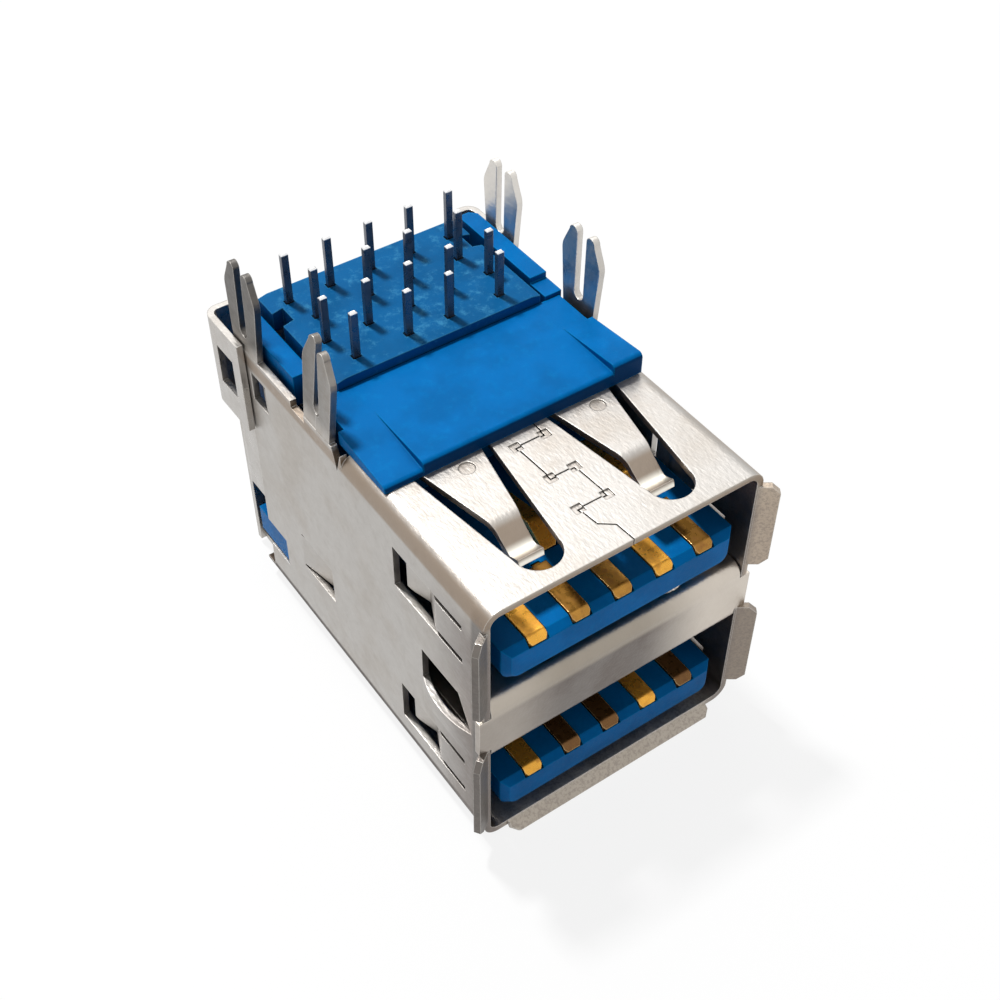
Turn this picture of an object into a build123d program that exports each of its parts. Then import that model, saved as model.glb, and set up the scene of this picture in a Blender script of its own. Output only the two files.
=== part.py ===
from build123d import *
import math
import os

# Dual stacked USB-A board socket, millimetres, +Z towards the board.
# The socket lies on its roof with its tails up and its two mouths towards -Y.
# X = 0 is the middle plane, Y = 0 is half way along the depth, Z = 0 is the lowest edge.
# Sizes named "back" are measured from the front edge of the shell, sizes named "ahead"
# from the rear edges of its walls, and sizes named "level" from the outer face of the roof.

# Sheet and clearances
sheet = 0.30
fit = 0.05
slide = 0.10
fold_radius = 0.75

# Outer shell
shell_width = 13.10
wall_depth = 18.45
cover_reach = 2.10
plate_depth = 9.75
wall_rise = 0.05
board_standoff = 1.10

# Ports and tongues
port_height = 5.12
port_pitch = 8.50
tongue_gap = 0.72
tongue_thickness = 1.84
tongue_width = 11.10
tongue_inset = 0.05
tongue_corner = 0.70
tongue_chamfer = 0.30
cavity_depth = 9.00

# Front flares of the side walls and the lip of the roof
flare_length = 0.95
flare_angle = 55.0
flare_bend = 0.25
flare_corner = 0.35
far_flare_level = 1.15
far_flare_height = 4.95
near_flare_level = 8.85
near_flare_height = 4.45
lip_length = 0.66
lip_angle = 35.0
lip_start = 0.12
lip_width = 10.70
lip_corner = 0.30

# Spring fingers of the flat sheets
finger_spacing = 6.20
finger_root_back = 7.40
finger_root_width = 2.80
finger_length = 5.50
finger_neck = 4.05
finger_bend = 3.70
finger_bend_radius = 0.80
finger_tip_width = 1.16
finger_tip_corner = 0.38
finger_dip = 0.80
finger_short_dip = 0.40
finger_crest = 4.90
finger_crest_radius = 0.45
finger_return = 0.26
window_root_width = 3.60
window_tip_width = 2.00
window_front_back = 0.60

# Spring fingers of the side walls
side_finger_back = 1.40
side_finger_length = 4.15
side_finger_width = 1.62
side_finger_bend = 1.75
side_finger_crest = 2.94
side_finger_dip = 0.56
side_finger_return = 0.34
side_finger_corner = 0.70
side_finger_slot = 0.30
side_window_end = 0.60

# Louvres, lances, catches and hooks of the side walls
louvre_back = 0.85
louvre_length = 3.50
louvre_level = 4.65
louvre_rise = 1.70
louvre_opening = 1.75
louvre_slope = 0.90
louvre_bulge = 0.35
louvre_start = 0.02
lance_ahead = 4.15
lance_length = 2.70
lance_level = 3.85
lance_height = 2.10
lance_angle = 11.0
lance_slot = 0.12
catch_ahead = 2.40
rear_relief_ahead = 0.70
catch_level = 2.25
catch_height = 1.65
hook_ahead = 2.50
hook_window_length = 1.25
hook_window_height = 1.50
hook_window_level = 11.80
hook_length = 0.70
hook_height = 1.10
hook_press = 0.25
relief_width = 0.70
relief_depth = 1.00
leg_relief_length = 1.10
leg_relief_depth = 0.35

# Board legs
leg_pitch = 5.80
front_leg_ahead = 6.85
leg_height = 4.15
leg_root_width = 1.94
leg_belly_height = 2.95
leg_belly_width = 2.54
leg_belly_radius = 0.90
leg_tip_width = 0.52
leg_slot = 0.62
leg_slot_root = 0.75
front_left_leans = (3.5, 7.5)
rear_left_leans = (1.8, 1.8)
right_leans = (-0.7, -0.7)

# Seam and pressed marks of the board-side plate
seam_gap = 0.06
seam_middle = 0.06
seam_reach = 0.62
seam_flare = 0.06
seam_crossings = (6.40, 4.28, 2.40)
seam_turn_back = 1.38
seam_end_back = 0.95
seam_end_x = 0.14
mark_size = 0.46
mark_depth = 0.08
dimple_radius = 0.34
dimple_back = 6.53
dimple_places = (-2.82, 3.48)

# Rear cover
cover_rise = 0.28
cover_bend = 0.45
back_half_width = 6.05
wing_ahead = 0.95
cover_dip = 0.60
cover_dip_limits = (-5.20, 6.00)
wing_drop = 4.70
wing_window_inset = 0.65
wing_window_length = 1.45
wing_window_height = 2.05
wing_window_drop = 1.25
flange_length = 3.30
flange_level = 4.35
flange_height = 5.10

# Centre shield
shield_bend = 0.40
shield_side_gap = 0.05
shield_anchor = 2.40
ear_level = 6.10
ear_height = 2.00
ear_proud = 0.20

# Mouldings
block_half_width = 5.65
base_half_width = 6.15
base_back = 7.10
base_thickness = 0.65
base_step = 0.36
base_step_length = 3.55
base_corner = 0.22
left_step_x = -4.40
right_step_x = 4.70
rear_block_ahead = 2.70
insert_setback = 1.75
catch_sink = 0.08
leg_room = 0.25

# Cheeks of the housing beside the tail aligner
cheek_inner = 5.20
cheek_outer = 6.05
cheek_setback = 1.45
cheek_corner = 0.30
left_cheek_length = 4.90
left_cheek_drop = 0.45
right_cheek_step_length = 1.10
right_cheek_step = 0.28

# Tail aligner
aligner_half_width = 4.95
aligner_thickness = 1.00
aligner_ahead = 5.95
aligner_length = 6.55
aligner_rim = 0.42
aligner_rim_drop = 0.10
aligner_notch = 0.95
aligner_notch_start = 4.35
aligner_notch_depth = 0.50

# Contacts
contact_thickness = 0.22
tail_width = 0.32
tail_length = 2.25
far_tail_extra = 0.22
tail_taper = 0.07
pad_width = 0.84
pad_length = 3.00
pad_inset = 0.12
pad_proud = 0.05
pad_nose = 0.24
pad_step = 0.62
tip_corner = 0.16
spring_width = 0.70
spring_hinge_back = 7.60
spring_crest_back = 4.60
spring_tip_back = 3.55
spring_rise = 0.55
spring_depth = 0.08
spring_slot = 0.45
contact_bend = 0.25
first_row_ahead = 5.00
row_step = 1.50
row_gap = 1.60
fast_pitch = 2.00
data_inner = 1.00
data_outer = 3.50

# Levels, worked out from the sizes above
half_width = shell_width / 2
inner_half = half_width - sheet
flare_turn = math.radians(flare_angle)
lip_turn = math.radians(lip_angle)
flare_run = (flare_length * math.sin(flare_turn), flare_length * math.cos(flare_turn))
lip_run = (lip_length * math.cos(lip_turn), lip_length * math.sin(lip_turn))
flare_forward = flare_run[1] - sheet / 2 * (1 - math.sin(flare_turn))
roof = lip_run[1] - sheet / 2 * (1 - math.cos(lip_turn))
far_floor = roof + sheet
far_ceiling = far_floor + port_height
near_floor = far_floor + port_pitch
near_ceiling = near_floor + port_height
plate_top = near_ceiling + sheet
seat = plate_top + board_standoff
wall_top = plate_top + wall_rise
cover_top = wall_top + cover_rise
wing_bottom = cover_top - wing_drop
far_tongue_top = far_floor + tongue_gap + tongue_thickness
near_tongue_top = near_floor + tongue_gap + tongue_thickness
tail_tip = seat + tail_length
far_tail_tip = tail_tip + far_tail_extra
leg_tip = wall_top + leg_height

# Places along the depth, worked out from the front edge of the shell
front = (flare_forward - wall_depth - cover_reach) / 2
wall_rear = front + wall_depth
rear = wall_rear + cover_reach
near_data_row = wall_rear - first_row_ahead
near_fast_row = near_data_row + row_step
far_data_row = near_fast_row + row_gap
far_fast_row = far_data_row + row_step
front_leg = wall_rear - front_leg_ahead
aligner_front = wall_rear - aligner_ahead
fast_columns = [fast_pitch * step for step in (-2, -1, 0, 1, 2)]
data_columns = (-data_outer, -data_inner, data_inner, data_outer)
sides = (-1, 1)

os.makedirs("parts", exist_ok=True)


def block(x_range, y_range, z_range, mode=Mode.ADD):
    """Block between three pairs of limits, in the open part."""
    size = [limits[1] - limits[0] for limits in (x_range, y_range, z_range)]
    middle = tuple(sum(limits) / 2 for limits in (x_range, y_range, z_range))
    with Locations(middle):
        Box(*size, mode=mode)


def outward(side, inner, outer):
    """Limits across the width between two distances from the middle, on one side."""
    return tuple(sorted((side * inner, side * outer)))


def folded_strip(plane, points, radius, thickness, width):
    """Sheet that follows a path with rounded bends, as wide on both sides of its plane."""
    with BuildSketch(plane) as section:
        with BuildLine():
            FilletPolyline(*points, radius=radius)
        trace(line_width=thickness)
    extrude(section.sketch, amount=width / 2, both=True)


# Tapered finger blank: root at X = 0, outer face at Z = 0, pressed to -Z at its crest
def tapered_finger(dip):
    with BuildPart() as finger:
        middle = -sheet / 2
        path = [
            (-sheet, middle),
            (finger_bend, middle),
            (finger_crest, middle - dip),
            (finger_length, middle - dip + finger_return),
        ]
        radii = [finger_bend_radius, finger_crest_radius]
        folded_strip(Plane.XZ, path, radii, sheet, finger_root_width)
        with BuildSketch(Plane.XY.offset(-dip - 2 * sheet)):
            with BuildLine():
                Polyline(
                    (-sheet, finger_root_width / 2),
                    (0, finger_root_width / 2),
                    (finger_neck, finger_tip_width / 2),
                    (finger_length + sheet, finger_tip_width / 2),
                    (finger_length + sheet, -finger_tip_width / 2),
                    (finger_neck, -finger_tip_width / 2),
                    (0, -finger_root_width / 2),
                    (-sheet, -finger_root_width / 2),
                    close=True,
                )
            make_face()
            fillet(vertices().group_by(Axis.X)[-1], finger_tip_corner)
        extrude(amount=dip + 4 * sheet, mode=Mode.INTERSECT)
    return finger.part


# Straight finger blank of a side wall, in the same frame
def straight_finger():
    with BuildPart() as finger:
        middle = -sheet / 2
        path = [
            (-sheet, middle),
            (side_finger_bend, middle),
            (side_finger_crest, middle - side_finger_dip),
            (side_finger_length, middle - side_finger_dip + side_finger_return),
        ]
        folded_strip(Plane.XZ, path, sheet, sheet, side_finger_width)
        with BuildSketch(Plane.XY.offset(-side_finger_dip - 2 * sheet)):
            with Locations((side_finger_length / 2, 0)):
                Rectangle(side_finger_length + 2 * sheet, side_finger_width)
            fillet(vertices().group_by(Axis.X)[-1], side_finger_corner)
        extrude(amount=side_finger_dip + 4 * sheet, mode=Mode.INTERSECT)
    return finger.part


def finger_frames(face, facing):
    """Frames of the two tapered fingers of a flat sheet, on its outer face, root at the rear."""
    return [
        Plane(
            origin=(side * finger_spacing / 2, front + finger_root_back, face),
            x_dir=(0, -1, 0),
            z_dir=(0, 0, facing),
        )
        for side in sides
    ]


def cut_finger_windows(frames):
    """Windows round tapered fingers: straight flanks that close on a round front end."""
    length = finger_root_back - window_front_back
    tip = window_tip_width / 2
    root = window_root_width / 2
    for frame in frames:
        with BuildSketch(frame) as window:
            with BuildLine():
                Polyline((length - tip, -tip), (0, -root), (0, root), (length - tip, tip))
                ThreePointArc((length - tip, tip), (length, 0), (length - tip, -tip))
            make_face()
        extrude(window.sketch, amount=2 * sheet, both=True, mode=Mode.SUBTRACT)


def side_frame(side, level):
    """Frame of a side finger on the outer face of a wall, root at the front."""
    return Plane(
        origin=(side * half_width, front + side_finger_back, level),
        x_dir=(0, 1, 0),
        z_dir=(side, 0, 0),
    )


def leg_prong(side, leg_middle, end, lean):
    """Half of a forked leg, towards the front (end -1) or the rear (end 1), leaning inwards."""
    turn = math.radians(lean)
    frame = Plane(
        origin=(side * half_width, leg_middle, wall_top - sheet),
        x_dir=(0, side, 0),
        z_dir=(side * math.cos(turn), 0, math.sin(turn)),
    )
    way = side * end
    top = sheet + leg_height
    shoulder = top - leg_tip_width / 2
    inner = leg_slot / 2
    middle = inner + leg_tip_width / 2
    outer = inner + leg_tip_width
    slot_end = sheet + leg_slot_root
    outline = [
        (way * leg_root_width / 2, 0),
        (way * leg_belly_width / 2, sheet + leg_belly_height),
        (way * outer, shoulder),
    ]
    with BuildSketch(frame) as blade:
        with BuildLine():
            FilletPolyline(*outline, radius=leg_belly_radius)
            ThreePointArc(outline[-1], (way * middle, top), (way * inner, shoulder))
            Line((way * inner, shoulder), (way * inner, slot_end + inner))
            RadiusArc((way * inner, slot_end + inner), (0, slot_end), way * inner)
            Polyline((0, slot_end), (0, 0), outline[0])
        make_face()
    extrude(blade.sketch, amount=-sheet)


def forked_leg(side, leg_middle, leans):
    """Leaf-shaped blade with two prongs, standing on a wall's top edge."""
    for end, lean in zip((-1, 1), leans):
        leg_prong(side, leg_middle, end, lean)


def free_corners(strip, axis, reverse=False):
    """The two short edges across the sheet at a strip's free end."""
    across = strip.edges().filter_by(lambda edge: abs(edge.length - sheet) < fit)
    return across.sort_by(axis, reverse=reverse)[:2]


def mouth_flare(side, height):
    """Flare of a side wall's front edge, about Z = 0, with its free corners cut off."""
    wall_line = side * (half_width - sheet / 2)
    bend = front + sheet / 2
    path = [
        (wall_line, front + flare_length),
        (wall_line, bend),
        (wall_line + side * flare_run[0], bend - flare_run[1]),
    ]
    with BuildPart() as flare:
        folded_strip(Plane.XY, path, flare_bend, sheet, height)
        chamfer(free_corners(flare, Axis.X, reverse=side > 0), flare_corner)
    return flare.part


def roof_lip():
    """Lip of the roof's front edge, with its free corners cut off."""
    bend = front + lip_start
    level = roof + sheet / 2
    path = [
        (front + lip_length, level),
        (bend, level),
        (bend - lip_run[0], level - lip_run[1]),
    ]
    with BuildPart() as lip:
        folded_strip(Plane.YZ, path, flare_bend, sheet, lip_width)
        chamfer(free_corners(lip, Axis.Y), lip_corner)
    return lip.part


def louvre_scoop(side, face, mode):
    """Scoop that grows from a flat wall to its full bulge at its open upper edge."""
    y_from = front + louvre_back
    y_to = y_from + louvre_length
    crown_y = (y_from + y_to) / 2
    sections = []
    for rise, bulge in ((0, louvre_start), (louvre_rise, louvre_bulge)):
        with BuildSketch(Plane.XY.offset(roof + louvre_level + rise)) as section:
            with BuildLine():
                edge = Line((side * face, y_from), (side * face, y_to))
                ThreePointArc(edge @ 0, (side * (face + bulge), crown_y), edge @ 1)
            make_face()
        sections.append(section.sketch)
    loft(sections, mode=mode)


# Outer shell: one sheet folded into a tube, open at both mouths and at the rear
plate_fingers = finger_frames(plate_top, 1)
roof_fingers = finger_frames(roof, -1)
port_middles = (far_floor + port_height / 2, near_floor + port_height / 2)
plate_finger = tapered_finger(finger_dip)
short_finger = tapered_finger(finger_short_dip)
side_finger = straight_finger()

with BuildPart() as outer_shell:
    # Closed tube at the front
    tube_middle = (roof + plate_top) / 2
    tube_height = plate_top - roof
    with BuildSketch(Plane.XZ.offset(-front)):
        with Locations((0, tube_middle)):
            RectangleRounded(shell_width, tube_height, fold_radius)
            RectangleRounded(
                shell_width - 2 * sheet,
                tube_height - 2 * sheet,
                fold_radius - sheet,
                mode=Mode.SUBTRACT,
            )
    extrude(amount=-wall_depth)
    # The roof reaches back to the rear cover
    roof_flat = half_width - fold_radius
    block((-roof_flat, roof_flat), (wall_rear, rear - sheet), (roof, far_floor))
    # Behind the board-side plate the walls stand straight up
    block(
        (-half_width, half_width),
        (front + plate_depth, wall_rear),
        (plate_top - fold_radius, seat),
        mode=Mode.SUBTRACT,
    )
    for side in sides:
        block(
            outward(side, inner_half, half_width),
            (front + plate_depth, wall_rear),
            (plate_top - fold_radius, wall_top),
        )
        # Relief beside the fold's end, and the notch behind the front leg
        with BuildSketch(Plane.YZ.offset(side * (half_width - sheet / 2))):
            with BuildLine():
                Polyline(
                    (front + plate_depth, wall_top + fit),
                    (front + plate_depth + relief_width / 2, plate_top - relief_depth),
                    (front + plate_depth + relief_width, wall_top + fit),
                    close=True,
                )
            make_face()
            with Locations((front_leg + (leg_root_width + leg_relief_length) / 2, wall_top)):
                Rectangle(leg_relief_length, 2 * leg_relief_depth)
        extrude(amount=sheet, both=True, mode=Mode.SUBTRACT)
        # Rear edge set forward below the cover's wing, and the catch notch in it
        block(
            outward(side, inner_half - sheet, half_width + sheet),
            (wall_rear - rear_relief_ahead, wall_rear + sheet),
            (roof + fold_radius, wing_bottom + sheet),
            mode=Mode.SUBTRACT,
        )
        block(
            outward(side, inner_half - sheet, half_width + sheet),
            (wall_rear - catch_ahead, wall_rear + sheet),
            (roof + catch_level, roof + catch_level + catch_height),
            mode=Mode.SUBTRACT,
        )
        # Lance window and hook window
        lance_hinge = wall_rear - lance_ahead
        hook_root = wall_rear - hook_ahead
        hook_bottom = roof + hook_window_level
        block(
            outward(side, inner_half - sheet, half_width + sheet),
            (lance_hinge - lance_length, lance_hinge),
            (roof + lance_level, roof + lance_level + lance_height),
            mode=Mode.SUBTRACT,
        )
        block(
            outward(side, inner_half - sheet, half_width + sheet),
            (hook_root, hook_root + hook_window_length),
            (hook_bottom, hook_bottom + hook_window_height),
            mode=Mode.SUBTRACT,
        )
        # Lance hinged at its rear edge, its free end pressed inwards
        swing = math.radians(lance_angle)
        mid_wall = side * (half_width - sheet / 2)
        lance_path = [
            (mid_wall, lance_hinge + sheet),
            (mid_wall, lance_hinge),
            (
                mid_wall - side * lance_length * math.sin(swing),
                lance_hinge - lance_length * math.cos(swing),
            ),
        ]
        lance_middle = roof + lance_level + lance_height / 2
        folded_strip(
            Plane.XY.offset(lance_middle), lance_path, sheet, sheet, lance_height - 2 * lance_slot
        )
        # Hook whose free end is pressed into its window, in front of the cover's wing
        hook_path = [
            (mid_wall, hook_root - sheet),
            (mid_wall, hook_root),
            (mid_wall - side * hook_press, hook_root + hook_length),
        ]
        hook_middle = hook_bottom + hook_window_height / 2
        folded_strip(Plane.XY.offset(hook_middle), hook_path, sheet, sheet, hook_height)
        # Windows and fingers of both ports
        for level in port_middles:
            window_length = side_finger_length + side_window_end
            window_height = side_finger_width + 2 * side_finger_slot
            window_from = front + side_finger_back
            block(
                outward(side, inner_half - sheet, half_width + sheet),
                (window_from, window_from + window_length),
                (level - window_height / 2, level + window_height / 2),
                mode=Mode.SUBTRACT,
            )
            with Locations(side_frame(side, level)):
                add(side_finger)
        # Louvre between the ports
        louvre_scoop(side, half_width, Mode.ADD)
        louvre_scoop(side, inner_half, Mode.SUBTRACT)
        louvre_from = front + louvre_back
        louvre_edge = roof + louvre_level + louvre_rise
        with BuildSketch(Plane.YZ.offset(side * half_width)):
            with BuildLine():
                Polyline(
                    (louvre_from, louvre_edge),
                    (louvre_from + louvre_slope, louvre_edge + louvre_opening),
                    (louvre_from + louvre_length, louvre_edge + louvre_opening),
                    (louvre_from + louvre_length, louvre_edge),
                    close=True,
                )
            make_face()
        extrude(amount=2 * sheet, both=True, mode=Mode.SUBTRACT)
        # Seat of the centre shield's ear in the wall's front edge
        block(
            outward(side, inner_half - sheet, half_width + sheet),
            (front - sheet, front + sheet + fit),
            (roof + ear_level - fit, roof + ear_level + ear_height + fit),
            mode=Mode.SUBTRACT,
        )
        # Flares at the mouths
        mouth_flares = (
            (far_flare_level, far_flare_height),
            (near_flare_level, near_flare_height),
        )
        for flare_level, flare_height in mouth_flares:
            with Locations((0, 0, roof + flare_level + flare_height / 2)):
                add(mouth_flare(side, flare_height))
    # Lip under the lower mouth
    add(roof_lip())
    # Fingers of the board-side plate and the roof
    cut_finger_windows(plate_fingers + roof_fingers)
    with Locations(*plate_fingers):
        add(plate_finger)
    with Locations(*roof_fingers):
        add(short_finger)
    # Puzzle seam where the sheet's two ends meet, staked at its corners, and two dimples
    seam_corners = []
    for number, back in enumerate(seam_crossings):
        turn_side = 1 if number % 2 == 0 else -1
        reach = turn_side * seam_reach + seam_flare
        seam_corners.append((seam_middle + reach, front + back))
        seam_corners.append((seam_middle - reach, front + back))
    narrow_reach = seam_reach - seam_flare
    seam_points = [(seam_middle + narrow_reach, front + plate_depth + fit)]
    seam_points += seam_corners
    seam_points.append((seam_middle - narrow_reach, front + seam_turn_back))
    seam_points.append((seam_middle, front + seam_end_back))
    seam_points.append((seam_end_x, front - fit))
    with BuildSketch(Plane.XY.offset(plate_top)):
        with BuildLine():
            Polyline(*seam_points)
        trace(line_width=seam_gap)
    extrude(amount=-sheet - fit, mode=Mode.SUBTRACT)
    with BuildSketch(Plane.XY.offset(plate_top)):
        with Locations(*seam_corners):
            Rectangle(mark_size, mark_size)
        with Locations(*[(x, front + dimple_back) for x in dimple_places]):
            Circle(dimple_radius)
    extrude(amount=-mark_depth, mode=Mode.SUBTRACT)
    # Board legs on the walls' top edges
    for leg_middle, leans in (
        (front_leg, front_left_leans),
        (front_leg + leg_pitch, rear_left_leans),
    ):
        forked_leg(-1, leg_middle, leans)
        forked_leg(1, leg_middle, right_leans)
outer_shell.part.label = "outer_shell"
export_step(outer_shell.part, "parts/outer_shell.step")

# Rear cover: a flat back folded forward outside the walls at the top and inside them below
wing_x = half_width + sheet / 2 + fit
flange_x = inner_half - slide - sheet / 2
cover_line = rear - sheet / 2

with BuildPart() as rear_cover:
    block((-back_half_width, back_half_width), (rear - sheet, rear), (roof, cover_top))
    wing_front = wall_rear - wing_ahead
    flange_bottom = roof + flange_level
    folds = (
        (wing_x, wing_front, wing_bottom, cover_top),
        (flange_x, rear - flange_length, flange_bottom, flange_bottom + flange_height),
    )
    for fold_x, fold_front, bottom, top in folds:
        fold_path = [
            (-fold_x, fold_front),
            (-fold_x, cover_line),
            (fold_x, cover_line),
            (fold_x, fold_front),
        ]
        fold_plane = Plane.XY.offset((bottom + top) / 2)
        folded_strip(fold_plane, fold_path, cover_bend, sheet, top - bottom)
    # Windows of the wings, and the lower stretch of the top edge behind the tails
    with BuildSketch(Plane.YZ):
        with Locations((wing_front + wing_window_inset, cover_top - wing_window_drop)):
            Rectangle(wing_window_length, wing_window_height, align=(Align.MIN, Align.MAX))
    extrude(amount=2 * half_width, both=True, mode=Mode.SUBTRACT)
    block(
        cover_dip_limits,
        (rear - 2 * sheet, rear + fit),
        (cover_top - cover_dip, cover_top + fit),
        mode=Mode.SUBTRACT,
    )
rear_cover.part.label = "rear_cover"
export_step(rear_cover.part, "parts/rear_cover.step")

# Centre shield: one sheet folded round the bridge between the two mouths
shield_rear = front + cavity_depth + shield_anchor
shield_half = inner_half - shield_side_gap

with BuildPart() as centre_shield:
    web_line = front + sheet / 2
    shield_path = [
        (front + cavity_depth - fit, near_floor - sheet / 2),
        (web_line, near_floor - sheet / 2),
        (web_line, far_ceiling + sheet / 2),
        (shield_rear, far_ceiling + sheet / 2),
    ]
    folded_strip(Plane.YZ, shield_path, shield_bend, sheet, 2 * shield_half)
    ear_bottom = roof + ear_level
    ear_half = half_width + ear_proud
    block((-ear_half, ear_half), (front, front + sheet), (ear_bottom, ear_bottom + ear_height))
    near_floor_fingers = finger_frames(near_floor - sheet, -1)
    far_ceiling_fingers = finger_frames(far_ceiling + sheet, 1)
    cut_finger_windows(near_floor_fingers + far_ceiling_fingers)
    with Locations(*near_floor_fingers):
        add(short_finger)
    with Locations(*far_ceiling_fingers):
        add(plate_finger)
centre_shield.part.label = "centre_shield"
export_step(centre_shield.part, "parts/centre_shield.step")


# Contacts: each is one strip that follows a path through the mouldings, seen from the side
def fast_path(tongue_top, row, tip):
    """Pad with its nose bent down, a step, a run to the rear and a tail to the board."""
    pad_line = tongue_top + pad_proud - contact_thickness / 2
    return [
        (front + pad_inset, pad_line - pad_nose),
        (front + pad_inset + pad_nose, pad_line),
        (front + pad_length, pad_line),
        (front + pad_length + pad_step, pad_line - pad_step),
        (row, pad_line - pad_step),
        (row, tip),
    ]


def data_path(tongue_top, row, tip):
    """Spring that bows over the tongue, a run to the rear and a tail to the board."""
    run_line = tongue_top - contact_thickness / 2 - spring_depth
    return [
        (front + spring_tip_back, tongue_top - contact_thickness / 2),
        (front + spring_crest_back, tongue_top + spring_rise),
        (front + spring_hinge_back, run_line),
        (row, run_line),
        (row, tip),
    ]


def narrow_behind(column, width, broad_back, clearance):
    """Takes a strip's width down to that of its tail, from a place behind its broad front."""
    narrow = tail_width / 2 + clearance
    for side in sides:
        block(
            tuple(sorted((column + side * narrow, column + side * width))),
            (front + broad_back + clearance, rear),
            (0, leg_tip),
            mode=Mode.SUBTRACT,
        )


def contact_strip(path, column, width, broad_back):
    """Strip bent along a path, broad in front with its corners cut off and narrow behind."""
    with BuildPart() as strip:
        with BuildSketch(Plane.YZ.offset(column)):
            with BuildLine():
                FilletPolyline(*path, radius=contact_bend)
            trace(line_width=contact_thickness)
        extrude(amount=width / 2, both=True)
        tip_back = path[0][0] - contact_thickness / 2
        with BuildSketch():
            with Locations((column, tip_back)):
                Rectangle(width, rear - tip_back, align=(Align.CENTER, Align.MIN))
            chamfer(vertices().group_by(Axis.Y)[0], tip_corner)
        extrude(amount=leg_tip, mode=Mode.INTERSECT)
        narrow_behind(column, width, broad_back, 0)
        chamfer(edges().group_by(Axis.Z)[-1], tail_taper)
    return strip.part


def contact_channel(path, column, width, broad_back):
    """Channel with square corners that clears a contact all round."""
    start = Vector(*path[0])
    start += (start - Vector(*path[1])).normalized() * fit
    with BuildPart() as channel:
        with BuildSketch(Plane.YZ.offset(column)):
            with BuildLine():
                Polyline(start, *path[1:])
            trace(line_width=contact_thickness + 2 * fit)
        extrude(amount=width / 2 + fit, both=True)
        narrow_behind(column, width, broad_back, fit)
    return channel.part


def contact_set(tongue_top, data_row, fast_row, tip):
    """Name, path, columns, breadth and length of the broad front of a port's contacts."""
    data = data_path(tongue_top, data_row, tip)
    fast = fast_path(tongue_top, fast_row, tip)
    return (
        ("data_contact", data, data_columns, spring_width, spring_hinge_back),
        ("fast_contact", fast, fast_columns, pad_width, pad_length),
    )


def cut_channels(contacts):
    """Channels of the open moulding for a port's contacts."""
    for name, path, columns, width, broad_back in contacts:
        for column in columns:
            add(contact_channel(path, column, width, broad_back), mode=Mode.SUBTRACT)


def tongue(floor, top, contacts):
    """Tongue of a mouth, rounded below and chamfered in front, with its channels."""
    with BuildPart() as blade:
        bottom = floor + tongue_gap
        with BuildSketch(Plane.XZ.offset(-front - tongue_inset)):
            with Locations((0, (bottom + top) / 2)):
                Rectangle(tongue_width, top - bottom)
            fillet(vertices().group_by(Axis.Y)[0], tongue_corner)
        extrude(amount=-(cavity_depth - tongue_inset))
        chamfer(edges().group_by(Axis.Y)[0], tongue_chamfer)
        # Room for the springs to go down
        spring_from = front + spring_tip_back - slide
        spring_to = front + spring_hinge_back
        spring_half = spring_width / 2 + fit
        for column in data_columns:
            block(
                (column - spring_half, column + spring_half),
                (spring_from, spring_to),
                (top - spring_slot, top + fit),
                mode=Mode.SUBTRACT,
            )
        cut_channels(contacts)
    return blade.part


near_contacts = contact_set(near_tongue_top, near_data_row, near_fast_row, tail_tip)
far_contacts = contact_set(far_tongue_top, far_data_row, far_fast_row, far_tail_tip)

# Housing: holds the near port's contacts and stands between the walls
body_front = front + cavity_depth
body_rear = wall_rear - rear_block_ahead
insert_top = far_ceiling + sheet
aligner_bottom = seat - aligner_thickness
base_end = aligner_front - fit
cheek_rear = rear - cheek_setback
cheek_bottom = roof + hook_window_level + hook_window_height + fit

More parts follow.
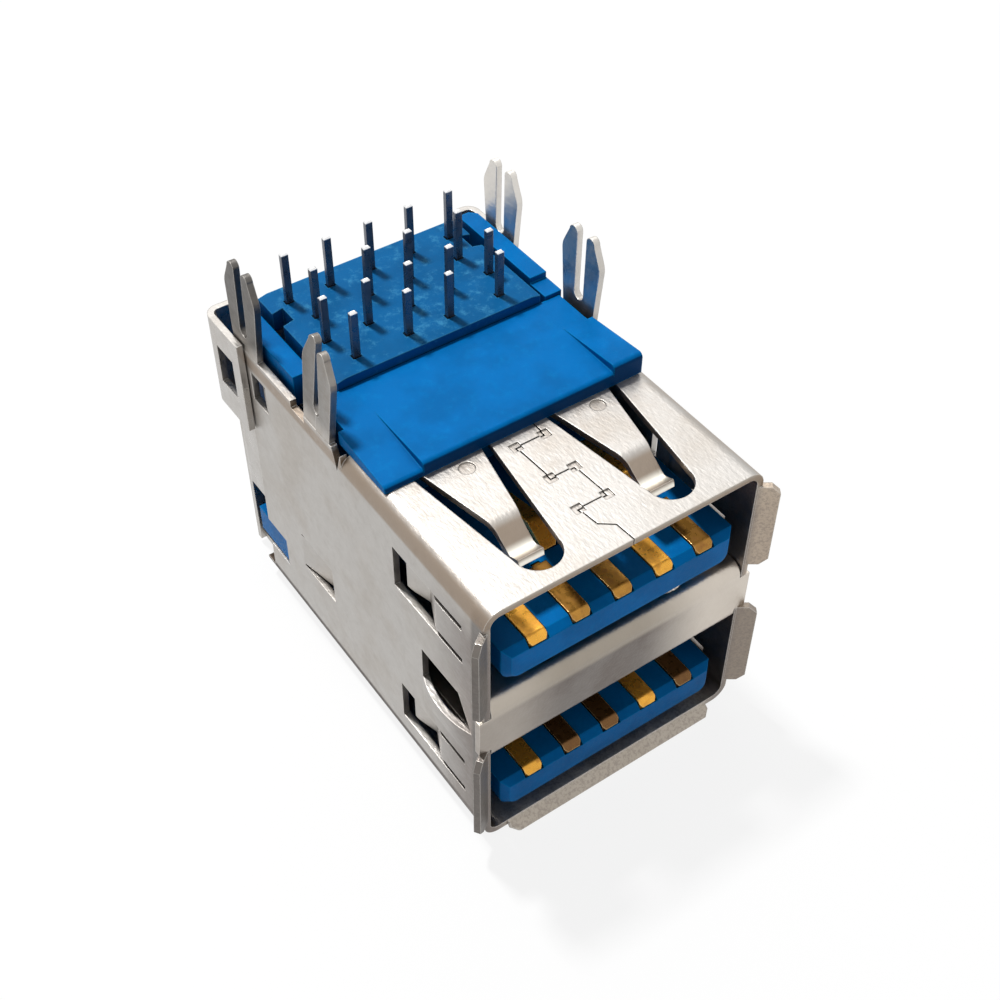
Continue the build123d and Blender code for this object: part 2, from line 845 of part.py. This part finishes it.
with BuildPart() as housing:
    body_width = (-block_half_width, block_half_width)
    block(body_width, (body_front, body_rear), (insert_top, near_ceiling - fit))
    block(
        body_width,
        (front + plate_depth + fit, body_rear),
        (near_ceiling - fit, aligner_bottom),
    )
    # Base plate on the board-side plate: a level middle between two sloping strips
    base_top = plate_top + base_thickness
    base_strips = (
        (-base_half_width, left_step_x, -base_step),
        (left_step_x, right_step_x, 0),
        (right_step_x, base_half_width, base_step),
    )
    for x_from, x_to, rise in base_strips:
        with BuildSketch(Plane.YZ.offset(x_from)):
            with BuildLine():
                Polyline(
                    (front + base_back, plate_top),
                    (front + base_back, base_top + rise),
                    (front + base_back + base_step_length, base_top),
                    (base_end, base_top),
                    (base_end, plate_top),
                    close=True,
                )
            make_face()
            fillet(vertices().group_by(Axis.X)[0].sort_by(Axis.Y)[-1], base_corner)
        extrude(amount=x_to - x_from)
    for side in sides:
        # Room for the legs, and the feet of the cheeks
        block(
            outward(side, base_half_width - leg_room, half_width),
            (front + plate_depth + relief_width, base_end + fit),
            (plate_top - fit, seat),
            mode=Mode.SUBTRACT,
        )
        block(
            outward(side, cheek_inner, block_half_width),
            (body_rear, cheek_rear),
            (insert_top, cheek_bottom),
        )
    # Cheeks beside the aligner: a long low one, and a high one with a step in front
    left_cheek_front = cheek_rear - left_cheek_length
    right_cheek_front = aligner_front + right_cheek_step_length
    cheeks = (
        (-1, left_cheek_front, seat - left_cheek_drop),
        (1, aligner_front, seat - right_cheek_step),
        (1, right_cheek_front, seat),
    )
    for side, cheek_front, cheek_top in cheeks:
        with BuildSketch(Plane.XY.offset(cheek_bottom)) as cheek:
            with Locations((side * (cheek_inner + cheek_outer) / 2, cheek_front)):
                Rectangle(
                    cheek_outer - cheek_inner,
                    cheek_rear - cheek_front,
                    align=(Align.CENTER, Align.MIN),
                )
            outer_vertex = vertices().group_by(Axis.Y)[-1].sort_by(Axis.X, reverse=side > 0)[0]
            chamfer(outer_vertex, cheek_corner)
        extrude(cheek.sketch, amount=cheek_top - cheek_bottom)
    cut_channels(near_contacts)
    add(tongue(near_floor, near_tongue_top, near_contacts))
housing.part.label = "housing"
export_step(housing.part, "parts/housing.step")

# Far insert: holds the far port's contacts, lies on the roof and catches in the walls
with BuildPart() as far_insert:
    insert_rear = rear - insert_setback
    block(body_width, (body_front, insert_rear), (far_floor, insert_top))
    block(
        (-shield_half, shield_half),
        (body_front - fit, shield_rear + slide),
        (far_ceiling, insert_top + fit),
        mode=Mode.SUBTRACT,
    )
    catch_bottom = roof + catch_level
    for side in sides:
        block(
            outward(side, block_half_width, half_width - catch_sink),
            (wall_rear - catch_ahead + slide, insert_rear),
            (catch_bottom + slide, catch_bottom + catch_height - slide),
        )
    cut_channels(far_contacts)
    add(tongue(far_floor, far_tongue_top, far_contacts))
far_insert.part.label = "far_insert"
export_step(far_insert.part, "parts/far_insert.step")

# Tail aligner: loose plate between the cheeks that holds the tails in their rows
notch_front = aligner_front + aligner_notch_start
with BuildPart() as tail_aligner:
    with BuildSketch(Plane.XZ.offset(-aligner_front)):
        with BuildLine():
            aligner_edge = aligner_half_width - aligner_rim
            rim_top = seat - aligner_rim_drop
            Polyline(
                (-aligner_half_width, aligner_bottom),
                (-aligner_half_width, rim_top),
                (-aligner_edge, seat),
                (aligner_edge, seat),
                (aligner_half_width, rim_top),
                (aligner_half_width, aligner_bottom),
                close=True,
            )
        make_face()
    extrude(amount=-aligner_length)
    for side in sides:
        block(
            outward(side, aligner_half_width - aligner_notch_depth, aligner_half_width + fit),
            (notch_front, notch_front + aligner_notch),
            (aligner_bottom - fit, seat + fit),
            mode=Mode.SUBTRACT,
        )
    cut_channels(near_contacts + far_contacts)
tail_aligner.part.label = "tail_aligner"
export_step(tail_aligner.part, "parts/tail_aligner.step")

# Contacts, numbered from -X to +X
for port, contacts in (("near", near_contacts), ("far", far_contacts)):
    for kind, path, columns, width, broad_back in contacts:
        for number, column in enumerate(columns, start=1):
            with BuildPart() as contact:
                add(contact_strip(path, column, width, broad_back))
            contact.part.label = f"{port}_{kind}_{number}"
            export_step(contact.part, f"parts/{contact.part.label}.step")
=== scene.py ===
import math

import bpy
from mathutils import Matrix, Vector


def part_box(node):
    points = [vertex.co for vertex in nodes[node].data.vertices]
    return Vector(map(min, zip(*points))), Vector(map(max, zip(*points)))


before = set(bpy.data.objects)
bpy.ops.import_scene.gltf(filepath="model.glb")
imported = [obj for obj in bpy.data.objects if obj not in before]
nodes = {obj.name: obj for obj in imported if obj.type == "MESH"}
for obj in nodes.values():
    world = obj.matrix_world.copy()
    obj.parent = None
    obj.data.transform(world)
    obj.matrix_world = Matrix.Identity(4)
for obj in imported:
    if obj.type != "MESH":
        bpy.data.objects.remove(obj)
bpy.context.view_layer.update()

# Housing and far insert.
# Two mouldings in a saturated blue plastic, each with the tongue of one mouth; the housing
# also has the stepped base plate. Half glossy, with flow marks and scuffs, edges lightened
# partly as wear and partly as painted highlight, painted shade where pieces close in, and
# painted shade on the front face of the base plate.
MM = 0.001
BLUE = (0.0, 0.150, 0.455, 1.0)
# Colour of scuffs, also laid on edges as painted highlight
BLUE_WEAR_AND_HIGHLIGHT = (0.0, 0.28, 0.66, 1.0)
# Painted shade, laid in crevices and where other pieces close in
SHADE_BLUE = (0.0, 0.075, 0.25, 1.0)
# Painted shade on the front face of the base plate, and its share
FRONT_SHADE_BLUE = (0.0, 0.030, 0.12, 1.0)
FRONT_SHADE = 0.85
FLOW_SHADE = 0.82
PLASTIC_SHINE = 0.04
# A fade is an axis, the millimetre where a tint starts and the one where it is full
BASE_FRONT_SHADE = (("Y", -2.86, -2.90), ("Z", 14.4, 14.5))


def put(tree, kind, inputs, **settings):
    """Adds a shader node, sets its options, and sets or links each of its inputs."""
    made = tree.nodes.new("ShaderNode" + kind)
    for name, value in settings.items():
        setattr(made, name, value)
    for key, value in inputs.items():
        if isinstance(value, bpy.types.NodeSocket):
            tree.links.new(value, made.inputs[key])
        else:
            made.inputs[key].default_value = value
    return made


def reckon(tree, operation, *values):
    """Result of one operation on numbers."""
    return put(tree, "Math", dict(enumerate(values)), operation=operation).outputs["Value"]


def multiply(tree, *factors):
    """Product of several factors."""
    product = factors[0]
    for factor in factors[1:]:
        product = reckon(tree, "MULTIPLY", product, factor)
    return product


def ramp(tree, value, start, full, low=0.0, high=1.0):
    """Smooth step from low, at the start, to high, where it is full."""
    inputs = {
        "Value": value,
        "From Min": start,
        "From Max": full,
        "To Min": low,
        "To Max": high,
    }
    return put(tree, "MapRange", inputs, interpolation_type="SMOOTHSTEP").outputs["Result"]


def mix(tree, share, first, second):
    """First colour with a share of the second one over it."""
    made = tree.nodes.new("ShaderNodeMix")
    made.data_type = "RGBA"
    for index, value in ((0, share), (6, first), (7, second)):
        if isinstance(value, bpy.types.NodeSocket):
            tree.links.new(value, made.inputs[index])
        else:
            made.inputs[index].default_value = value
    return made.outputs[2]


def noise(tree, place, scale, detail, roughness=0.55):
    """Cloudy noise whose features are 1 / scale millimetres wide."""
    inputs = {"Vector": place, "Scale": scale, "Detail": detail, "Roughness": roughness}
    return put(tree, "TexNoise", inputs).outputs["Fac"]


def new_material(name):
    """A material with its tree, its principled shader and its coordinates in millimetres."""
    made = bpy.data.materials.new(name)
    made.use_nodes = True
    tree = made.node_tree
    shader = tree.nodes["Principled BSDF"]
    place = put(tree, "TexCoord", {}).outputs["Object"]
    scaled = put(tree, "VectorMath", {0: place, "Scale": 1.0 / MM}, operation="SCALE")
    return made, tree, shader, scaled.outputs["Vector"]


def coordinates(tree, place):
    """Coordinates by axis, and the distance beside the middle plane of the socket."""
    axes = put(tree, "SeparateXYZ", {"Vector": place}).outputs
    beside = reckon(tree, "ABSOLUTE", axes["X"])
    return {"X": axes["X"], "Y": axes["Y"], "Z": axes["Z"], "beside": beside}


def within(tree, axes, fades):
    """How far a point lies within every one of several fades, from 0 to 1."""
    return multiply(tree, *(ramp(tree, axes[axis], start, full) for axis, start, full in fades))


def soft_edges(tree, edge_radius):
    """Normal over softly rounded edges, and how near to an edge a point is."""
    rounded = put(tree, "Bevel", {"Radius": edge_radius * MM}, samples=6).outputs["Normal"]
    flat = put(tree, "NewGeometry", {}).outputs["Normal"]
    likeness = put(tree, "VectorMath", {0: rounded, 1: flat}, operation="DOT_PRODUCT")
    return rounded, ramp(tree, likeness.outputs["Value"], start=0.995, full=0.88)


def relief(tree, shader, height, depth, normal):
    """Relief of a depth in millimetres over a normal."""
    inputs = {"Strength": 1.0, "Distance": depth * MM, "Height": height, "Normal": normal}
    bump = put(tree, "Bump", inputs)
    tree.links.new(bump.outputs["Normal"], shader.inputs["Normal"])


def crevice_grime_and_shade(tree, colour, shade_and_grime, reach, own_piece):
    """Colour that darkens in crevices, of its own piece or between all pieces, as painted shade,
    and on the sheet metal also as grime.
    """
    inputs = {"Distance": reach * MM}
    crevice = put(tree, "AmbientOcclusion", inputs, samples=8, only_local=own_piece)
    return mix(tree, ramp(tree, crevice.outputs["AO"], start=0.25, full=0.85), shade_and_grime, colour)


def dress(node_name, material):
    """Gives a CAD node its material."""
    node = nodes[node_name]
    node.data.materials.clear()
    node.data.materials.append(material)


def blue_plastic(name, body, wear_and_highlight, scuffs, roughness, tint=None):
    """Moulded plastic with flow marks, pale specks and scuffs, painted shade where pieces close
    in, and edges lightened partly as wear and partly as painted highlight.
    """
    made, tree, shader, place = new_material(name)
    flow = noise(tree, place, scale=0.5, detail=3.0)
    specks = noise(tree, place, scale=7.0, detail=6.0, roughness=0.75)
    rubbed = noise(tree, place, scale=1.7, detail=6.0, roughness=0.75)
    shaded = tuple(channel * FLOW_SHADE for channel in body[:3]) + (1.0,)
    colour = mix(tree, ramp(tree, flow, start=0.35, full=0.65), body, shaded)
    for marks, start, full in ((specks, 0.62, 0.80), (rubbed, 0.50, 0.72)):
        colour = mix(tree, ramp(tree, marks, start, full, high=scuffs), colour, wear_and_highlight)
    # Painted shade: the colour darkens where other pieces close in, as over the tongues under the
    # board-side plate
    colour = crevice_grime_and_shade(tree, colour, SHADE_BLUE, reach=3.0, own_piece=False)
    if tint:
        colour = tint(tree, place, colour)
    normal, edge = soft_edges(tree, edge_radius=0.09)
    # Edges lightened: partly wear, partly painted highlight
    colour = mix(tree, multiply(tree, edge, 0.6), colour, wear_and_highlight)
    gloss = ramp(tree, specks, start=0.3, full=0.7, low=roughness, high=roughness + 0.18)
    tree.links.new(colour, shader.inputs["Base Color"])
    tree.links.new(gloss, shader.inputs["Roughness"])
    shader.inputs["Specular IOR Level"].default_value = PLASTIC_SHINE
    relief(tree, shader, specks, 0.010, normal)
    return made


def housing_front_shade(tree, place, colour):
    """Painted shade: a deep blue front edge of the base plate, which faces away from the light."""
    front = within(tree, coordinates(tree, place), BASE_FRONT_SHADE)
    return mix(tree, multiply(tree, front, FRONT_SHADE), colour, FRONT_SHADE_BLUE)


moulding_blue = blue_plastic(
    "housing_plastic", BLUE, BLUE_WEAR_AND_HIGHLIGHT, scuffs=0.18, roughness=0.30, tint=housing_front_shade
)
dress("housing", moulding_blue)
dress("far_insert", moulding_blue)

# Contacts.
# Copper-alloy strips, stamped and pushed into the mouldings, gold plated where a plug
# touches them. Their tails are tin plated, with bright sheared tips.
GOLD = (0.95, 0.47, 0.06, 1.0)
GOLD_WORN = (0.62, 0.27, 0.04, 1.0)
# Colour of bright edges: partly wear, partly painted highlight
GOLD_EDGE_WEAR_AND_HIGHLIGHT = (1.0, 0.72, 0.38, 1.0)
# Dark colour laid over part of the gold of some pads
PAD_DARK = (0.10, 0.045, 0.022, 1.0)
TIN = (0.15, 0.16, 0.185, 1.0)
TIN_TIP = (0.90, 0.90, 0.90, 1.0)
TAIL_START, TAIL_FULL = 13.0, 13.5
TIP_START, TIP_FULL = 0.12, 0.06
# How much of the gold shows on each pad that is darkened
GOLD_SHOWN = {
    "near_fast_contact_2": 0.45,
    "near_fast_contact_3": 0.50,
    "near_fast_contact_5": 0.35,
    "far_fast_contact_1": 0.90,
    "far_fast_contact_2": 0.10,
    "far_fast_contact_3": 0.10,
    "far_fast_contact_5": 0.10,
}


def contact_metal(name, tip_level, gold_shown):
    """Gold below the level of the board-side plate, tin above it and bright at the tip."""
    made, tree, shader, place = new_material(name)
    wear = noise(tree, place, scale=3.0, detail=4.0)
    gold = mix(tree, ramp(tree, wear, start=0.45, full=0.75), GOLD, GOLD_WORN)
    gold = mix(tree, gold_shown, PAD_DARK, gold)
    normal, edge = soft_edges(tree, edge_radius=0.05)
    # Edges lightened: partly wear, partly painted highlight
    gold = mix(tree, multiply(tree, edge, 0.6), gold, GOLD_EDGE_WEAR_AND_HIGHLIGHT)
    height = coordinates(tree, place)["Z"]
    finish = mix(tree, ramp(tree, height, TAIL_START, TAIL_FULL), gold, TIN)
    tip = ramp(tree, height, tip_level - TIP_START, tip_level - TIP_FULL)
    metal = ramp(tree, height, TAIL_START, TAIL_FULL, low=0.7, high=0.85)
    gloss = ramp(tree, wear, start=0.3, full=0.7, low=0.22, high=0.40)
    tree.links.new(mix(tree, tip, finish, TIN_TIP), shader.inputs["Base Color"])
    tree.links.new(metal, shader.inputs["Metallic"])
    tree.links.new(gloss, shader.inputs["Roughness"])
    relief(tree, shader, wear, 0.006, normal)
    return made


for name in nodes:
    if "contact" in name:
        tip_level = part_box(name)[1][2] / MM
        dress(name, contact_metal(name, tip_level, GOLD_SHOWN.get(name, 1.0)))

# Tail aligner.
# A flat slotted moulding in a slightly greyer blue, pushed on over the tails to space them.
# It is dusty, and scuffed where the tails pass.
ALIGNER_BLUE = (0.004, 0.115, 0.31, 1.0)
# Colour of scuffs, also laid on edges as painted highlight
ALIGNER_WEAR_AND_HIGHLIGHT = (0.06, 0.30, 0.52, 1.0)
aligner_blue = blue_plastic(
    "aligner_plastic", ALIGNER_BLUE, ALIGNER_WEAR_AND_HIGHLIGHT, scuffs=0.6, roughness=0.38
)
dress("tail_aligner", aligner_blue)

# Centre shield.
# One sheet folded round the bridge between the mouths, with springs for both plugs.
# It is painted darker than the shell, as shade, with painted light at the upper bend and towards
# both ends of its web.
# Shield colours painted darker than the shell as shade, with painted light for the bend and the
# ends of the web
SHIELD_SHADED = (0.20, 0.18, 0.165, 1.0)
SHIELD_STAIN_SHADED = (0.15, 0.125, 0.11, 1.0)
SHIELD_LIT = (0.62, 0.56, 0.49, 1.0)
SHIELD_BEND_LIT = (0.34, 0.30, 0.25, 1.0)
# Grime and painted shade, for crevices of the sheet and the feet of the walls
GRIME_AND_SHADE = (0.06, 0.045, 0.035, 1.0)
# Pale colour of edges, partly wear and partly painted highlight, and painted light on the right
# legs
PALE_WEAR_AND_HIGHLIGHT = (0.80, 0.77, 0.72, 1.0)
GRAIN_STRETCH = (7.0, 3.0, 7.0)


def sheet_metal(name, light, dark, roughness, tint=None):
    """Satin plated sheet with stains, fine rolling grain and small dents; its crevices darken with
    grime and painted shade, and its edges are lightened, partly as wear and partly as painted
    highlight.
    """
    made, tree, shader, place = new_material(name)
    stains = noise(tree, place, scale=0.35, detail=4.0)
    spots = noise(tree, place, scale=2.2, detail=5.0, roughness=0.7)
    colour = mix(tree, ramp(tree, stains, start=0.42, full=0.68), light, dark)
    colour = mix(tree, ramp(tree, spots, start=0.58, full=0.78, high=0.5), colour, dark)
    if tint:
        colour = tint(tree, place, colour)
    # Grime and painted shade in the sheet's own crevices
    colour = crevice_grime_and_shade(tree, colour, GRIME_AND_SHADE, reach=0.35, own_piece=True)
    normal, edge = soft_edges(tree, edge_radius=0.06)
    # Edges lightened: partly wear, partly painted highlight
    colour = mix(tree, multiply(tree, edge, 0.5), colour, PALE_WEAR_AND_HIGHLIGHT)
    gloss = ramp(tree, spots, start=0.3, full=0.8, low=roughness, high=roughness + 0.14)
    tree.links.new(colour, shader.inputs["Base Color"])
    tree.links.new(gloss, shader.inputs["Roughness"])
    shader.inputs["Metallic"].default_value = 1.0
    stretched = put(tree, "VectorMath", {0: place, 1: GRAIN_STRETCH}, operation="MULTIPLY")
    grain = noise(tree, stretched.outputs["Vector"], scale=1.0, detail=3.0)
    dents = noise(tree, place, scale=0.8, detail=2.0)
    relief(tree, shader, reckon(tree, "ADD", grain, dents), 0.016, normal)
    return made


def shield_painted_light(tree, place, colour):
    """Painted light: a paler upper bend, and brighter towards both ends of the web."""
    axes = coordinates(tree, place)
    bend = ramp(tree, axes["Z"], start=8.2, full=8.5)
    right_end = ramp(tree, axes["X"], start=0.8, full=5.0)
    left_end = ramp(tree, axes["X"], start=-2.5, full=-5.5, high=0.45)
    colour = mix(tree, bend, colour, SHIELD_BEND_LIT)
    return mix(tree, reckon(tree, "MAXIMUM", right_end, left_end), colour, SHIELD_LIT)


shield_sheet = sheet_metal(
    "shield_sheet", SHIELD_SHADED, SHIELD_STAIN_SHADED, roughness=0.28, tint=shield_painted_light
)
dress("centre_shield", shield_sheet)

# Outer shell.
# One sheet of nickel silver, stamped, folded into a tube and closed along a puzzle seam.
# It has a satin skin with faint stains, and its folds and front edges are browner.
# Painted shade darkens its feet and the walls round the front of the upper mouth, the brown
# stains on its board-side plate are painted fuller towards the rear as shade, its flares and
# legs are painted lit on the right and shaded on the left, and its finger crests carry a
# painted highlight.
NICKEL = (0.47, 0.45, 0.425, 1.0)
NICKEL_STAIN = (0.43, 0.40, 0.365, 1.0)
FOLD_BROWN = (0.30, 0.23, 0.17, 1.0)
RIM_BROWN = (0.38, 0.33, 0.27, 1.0)
MOUTH_BROWN = (0.20, 0.17, 0.155, 1.0)
# Painted highlight for the finger crests
CREST_HIGHLIGHT = (1.0, 0.96, 0.86, 1.0)
# Painted shade and painted light for the flares
FLARE_SHADE = (0.13, 0.12, 0.11, 1.0)
FLARE_LIT = (0.50, 0.41, 0.32, 1.0)
# Painted shade for the left legs
LEG_SHADE = (0.03, 0.027, 0.025, 1.0)
# Painted shade at the feet of the walls
WALL_FEET_SHADE = (("Z", 1.40, 1.15), ("beside", 5.8, 6.1))
FRONT_RIM = (("Y", -10.00, -10.012),)
# Painted shade over the front of the walls round the upper mouth
MOUTH_WALLS_SHADE = (("Y", -5.5, -9.9), ("beside", 5.2, 6.1), ("Z", 14.3, 12.0))
# Brown stains on the board-side plate, painted fuller towards its rear as shade
PLATE_STAIN_AND_SHADE = (("Z", 14.40, 14.50), ("Y", -9.0, -2.5))
# Where the flares get painted light and shade
FLARES_LIGHT_AND_SHADE = (("Y", -9.1, -9.4), ("beside", 6.2, 6.6))
# Where the legs get painted light and shade
LEGS_LIGHT_AND_SHADE = (("Z", 14.7, 15.6), ("Y", -4.0, 5.0))
UPPER_FOLDS = (("Z", 13.72, 13.95), ("Z", 14.55, 14.35))
FRONT_EDGES = (("Y", -9.3, -9.6), ("Z", 14.4, 13.9))
# Where the finger crests get a painted highlight
FINGER_CREST_HIGHLIGHTS = (
    ("Z", 14.02, 13.82),
    ("Z", 12.8, 13.0),
    ("Y", -6.2, -6.6),
    ("beside", 5.2, 4.9),
)


def shell_stains_light_and_shade(tree, place, colour):
    """Browner folds and front edges, and brown stains on the board-side plate that fill in towards
    its rear as painted shade; painted shade at the wall feet and round the front of the upper
    mouth, painted light and shade on the flares and legs, and a painted highlight on the finger
    crests.
    """
    axes = coordinates(tree, place)
    blotches = noise(tree, place, scale=1.6, detail=5.0, roughness=0.7)
    grit = noise(tree, place, scale=8.0, detail=3.0, roughness=0.7)
    blotched = ramp(tree, blotches, start=0.35, full=0.75)
    speckled = ramp(tree, grit, start=0.44, full=0.62)
    # Painted light on the right and painted shade on the left, for the flares and legs
    right = ramp(tree, axes["X"], start=6.0, full=6.3)
    far_port = ramp(tree, axes["Z"], start=8.0, full=7.0, high=0.5)
    right_flare_light_and_shade = mix(tree, far_port, FLARE_LIT, FLARE_SHADE)
    flare_light_and_shade = mix(tree, right, FLARE_SHADE, right_flare_light_and_shade)
    leg_light_and_shade = mix(tree, right, LEG_SHADE, PALE_WEAR_AND_HIGHLIGHT)
    # Stains, and painted light and shade, each with its colour, where it lies and its share
    tints = (
        (GRIME_AND_SHADE, WALL_FEET_SHADE, 1.0),
        (RIM_BROWN, FRONT_RIM, 0.8),
        (MOUTH_BROWN, MOUTH_WALLS_SHADE, 0.85),
        (FOLD_BROWN, PLATE_STAIN_AND_SHADE, multiply(tree, blotched, 0.32)),
        (flare_light_and_shade, FLARES_LIGHT_AND_SHADE, 0.8),
        (leg_light_and_shade, LEGS_LIGHT_AND_SHADE, 0.75),
        (FOLD_BROWN, UPPER_FOLDS, 0.8),
        (MOUTH_BROWN, FRONT_EDGES, multiply(tree, speckled, 0.45)),
        (CREST_HIGHLIGHT, FINGER_CREST_HIGHLIGHTS, 1.0),
    )
    for tint, fades, share in tints:
        covered = multiply(tree, within(tree, axes, fades), share)
        colour = mix(tree, covered, colour, tint)
    return colour


shell_sheet = sheet_metal(
    "shell_sheet", NICKEL, NICKEL_STAIN, roughness=0.36, tint=shell_stains_light_and_shade
)
dress("outer_shell", shell_sheet)

# Rear cover.
# A second sheet of the same metal, folded into a tray and pushed on over the rear of the
# walls, where hooks catch it. It is a little glossier than the shell.
dress("rear_cover", sheet_metal("cover_sheet", NICKEL, NICKEL_STAIN, roughness=0.26))

# Floor and light.
# A plain white ground and sky, under one small lamp behind and above the socket that
# casts its shadow, and one wide lamp whose sheen lies over the metal.
WHITE = (1.0, 1.0, 1.0, 1.0)
FLOOR_LIGHT = (0.90, 0.90, 0.90, 1.0)
FLOOR_DARK = (0.86, 0.86, 0.86, 1.0)
FLOOR_HALF_WIDTH = 2.0
SKY_STRENGTH = 0.30


def ground():
    """Large flat floor at the level that the socket rests on."""
    half = FLOOR_HALF_WIDTH
    mesh = bpy.data.meshes.new("floor")
    corners = [(-half, -half, 0), (half, -half, 0), (half, half, 0), (-half, half, 0)]
    mesh.from_pydata(corners, [], [(0, 1, 2, 3)])
    made = bpy.data.objects.new("floor", mesh)
    bpy.context.scene.collection.objects.link(made)
    return made


def show_white(tree, lit, share, output):
    """Lit shader, with a share of plain white in what the camera and the metal see of it."""
    path = put(tree, "LightPath", {}).outputs
    seen = reckon(tree, "MAXIMUM", path["Is Camera Ray"], path["Is Glossy Ray"])
    seen = reckon(tree, "MAXIMUM", seen, path["Is Transmission Ray"])
    white = put(tree, "Emission", {"Color": WHITE, "Strength": 1.0}).outputs["Emission"]
    shown = put(tree, "MixShader", {0: multiply(tree, seen, share), 1: lit, 2: white})
    tree.links.new(shown.outputs["Shader"], tree.nodes[output].inputs["Surface"])


def floor_white(tree, place):
    """How white the floor is seen: fully far away, less near the socket, hardly under it."""
    axes = coordinates(tree, place)
    along = reckon(tree, "ABSOLUTE", axes["Y"])
    away = put(tree, "VectorMath", {0: place}, operation="LENGTH").outputs["Value"]
    under = multiply(
        tree,
        ramp(tree, axes["beside"], start=6.2, full=5.6),
        ramp(tree, along, start=9.8, full=9.0),
    )
    return multiply(
        tree,
        ramp(tree, away, start=25.0, full=160.0, low=0.86, high=1.0),
        ramp(tree, under, start=0.0, full=1.0, low=1.0, high=0.1),
    )


def softbox(name, place, target, size, power):
    """Square area light that faces a target."""
    lamp = bpy.data.lights.new(name, "AREA")
    lamp.size = size
    lamp.energy = power
    made = bpy.data.objects.new(name, lamp)
    made.location = place
    made.rotation_euler = (Vector(target) - Vector(place)).to_track_quat("-Z", "Y").to_euler()
    bpy.context.scene.collection.objects.link(made)


floor = ground()
floor_paint, floor_tree, floor_shader, floor_place = new_material("floor")
mottle = noise(floor_tree, floor_place, scale=0.05, detail=2.0)
floor_tree.links.new(
    mix(floor_tree, mottle, FLOOR_DARK, FLOOR_LIGHT), floor_shader.inputs["Base Color"]
)
floor_shader.inputs["Roughness"].default_value = 0.9
floor_share = floor_white(floor_tree, floor_place)
show_white(floor_tree, floor_shader.outputs["BSDF"], floor_share, "Material Output")
floor.data.materials.append(floor_paint)

world = bpy.data.worlds.new("studio")
bpy.context.scene.world = world
world.use_nodes = True
sky = world.node_tree.nodes["Background"]
sky.inputs["Color"].default_value = WHITE
sky.inputs["Strength"].default_value = SKY_STRENGTH
show_white(world.node_tree, sky.outputs["Background"], 1.0, "World Output")

softbox("key_light", (-0.03, 0.155, 0.38), target=(0.0, 0.0, 0.01), size=0.04, power=1.5)
softbox("sheen_light", (0.16, 0.24, 0.30), target=(0.0, -0.005, 0.01), size=0.26, power=0.20)

# Camera.
# It stands where the photograph was taken from: above the left front corner of the
# socket, looking down on the tails, the board-side plate and the two mouths.
CAMERA_PLACE = Vector((-24.74, -36.89, 53.99)) * MM
CAMERA_YAW = math.radians(35.09)
CAMERA_PITCH = math.radians(45.87)
CAMERA_ROLL = math.radians(0.29)
camera_data = bpy.data.cameras.new("camera")
camera_data.sensor_width = 36.0
camera_data.lens = 52.89
camera_data.clip_start = 0.001
camera_data.clip_end = 10.0
camera = bpy.data.objects.new("camera", camera_data)
aim = Matrix.Rotation(-CAMERA_YAW, 4, "Z") @ Matrix.Rotation(math.pi / 2 - CAMERA_PITCH, 4, "X")
camera.matrix_world = Matrix.Translation(CAMERA_PLACE) @ aim @ Matrix.Rotation(CAMERA_ROLL, 4, "Z")
bpy.context.scene.collection.objects.link(camera)
bpy.context.scene.camera = camera

bpy.context.scene.view_settings.view_transform = "Standard"
